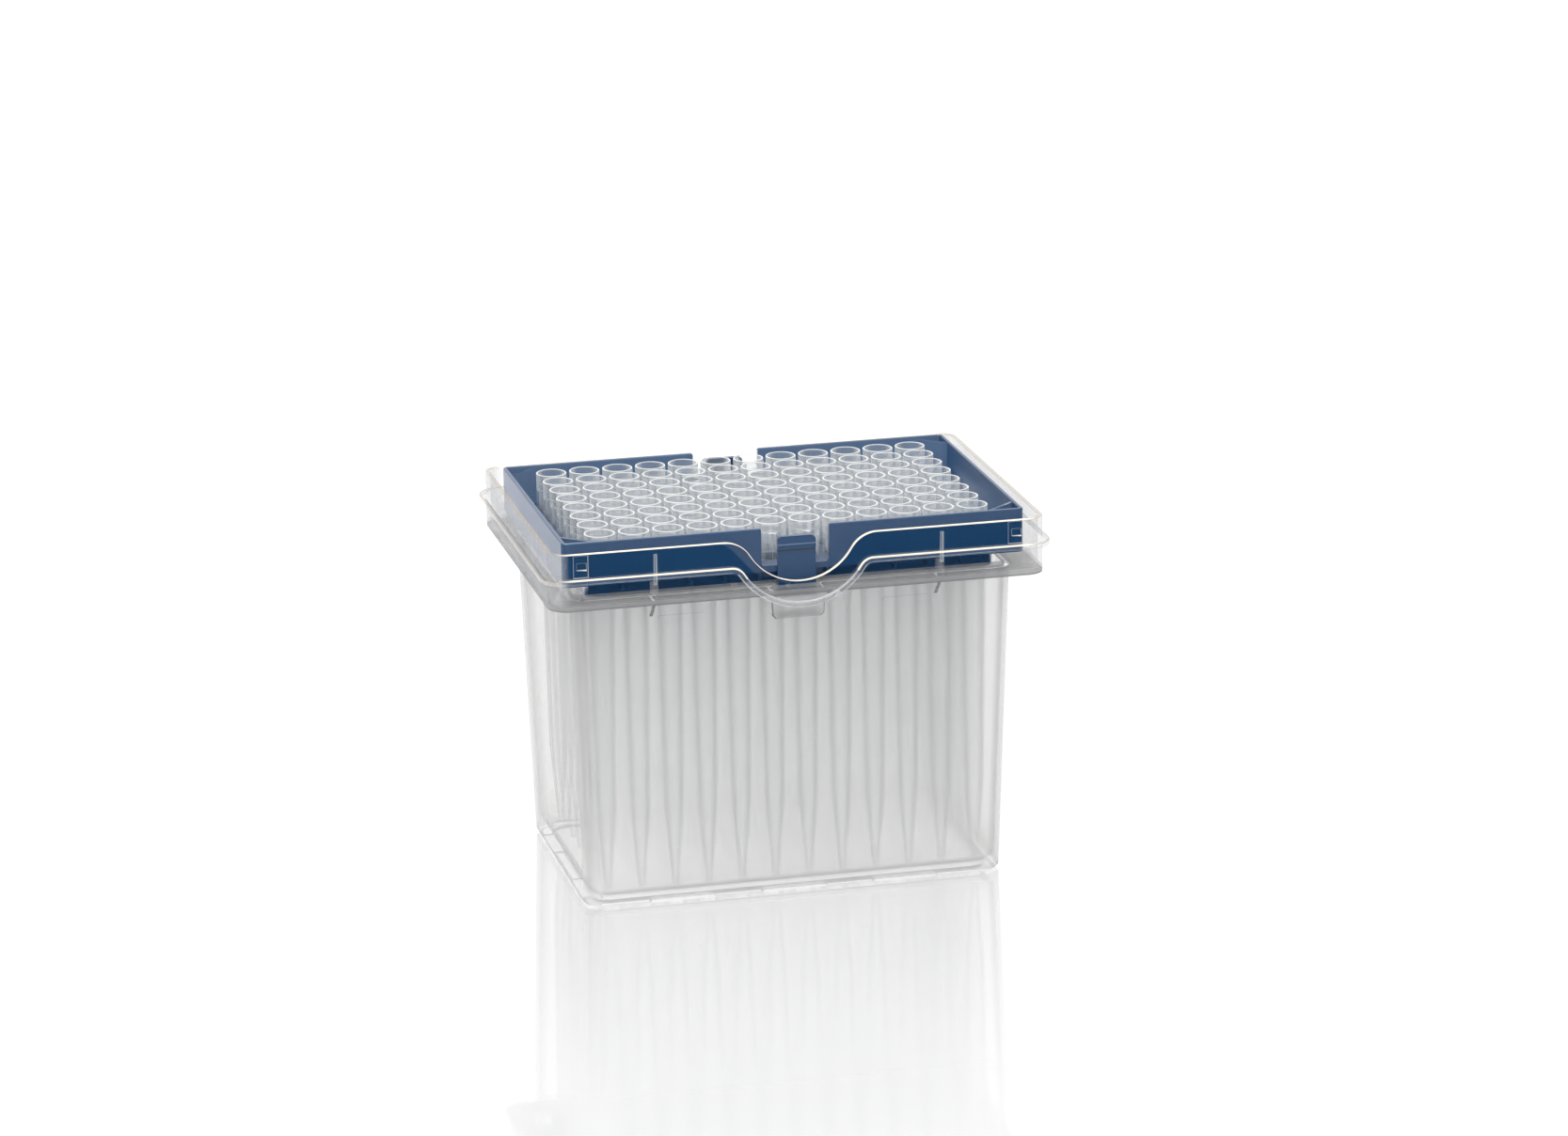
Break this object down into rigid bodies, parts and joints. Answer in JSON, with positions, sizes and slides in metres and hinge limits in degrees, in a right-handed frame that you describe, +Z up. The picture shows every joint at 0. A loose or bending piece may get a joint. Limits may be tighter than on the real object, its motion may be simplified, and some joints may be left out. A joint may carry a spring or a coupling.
{
  "type": "box of pipette tips",
  "caption": "Open rectangular case of clear plastic with a snap-in coloured tray that holds a full grid of long clear pipette tips.",
  "frame": {"origin": "middle of the footprint, on the surface that the case stands on", "axes": "+X along the twelve columns, +Y to the rear of the case (row a), +Z up"},
  "size_m": [0.1346, 0.097, 0.1005],
  "materials": {
    "clear_case": "moulded, clear, glossy",
    "tray_plastic": "moulded, opaque grey-blue, satin",
    "tip_plastic": "moulded, clear to faintly milky, glossy"
  },
  "bodies": {
    "case": {"base_box": "clear_case"},
    "tray": {"tip_tray": "tray_plastic", "tips_a_to_d_column_01": "tip_plastic", "tips_e_to_h_column_01": "tip_plastic", "tips_a_to_d_column_02": "tip_plastic", "tips_e_to_h_column_02": "tip_plastic", "tips_a_to_d_column_03": "tip_plastic", "tips_e_to_h_column_03": "tip_plastic", "tips_a_to_d_column_04": "tip_plastic", "tips_e_to_h_column_04": "tip_plastic", "tips_a_to_d_column_05": "tip_plastic", "tips_e_to_h_column_05": "tip_plastic", "tips_a_to_d_column_06": "tip_plastic", "tips_e_to_h_column_06": "tip_plastic", "tips_a_to_d_column_07": "tip_plastic", "tips_e_to_h_column_07": "tip_plastic", "tips_a_to_d_column_08": "tip_plastic", "tips_e_to_h_column_08": "tip_plastic", "tips_a_to_d_column_09": "tip_plastic", "tips_e_to_h_column_09": "tip_plastic", "tips_a_to_d_column_10": "tip_plastic", "tips_e_to_h_column_10": "tip_plastic", "tips_a_to_d_column_11": "tip_plastic", "tips_e_to_h_column_11": "tip_plastic", "tips_a_to_d_column_12": "tip_plastic", "tips_e_to_h_column_12": "tip_plastic"}
  },
  "joints": [
    {"name": "tray_lift", "type": "slide", "parent": "case", "child": "tray", "axis": [0, 0, 1], "range_m": [0, 0.11]}
  ]
}
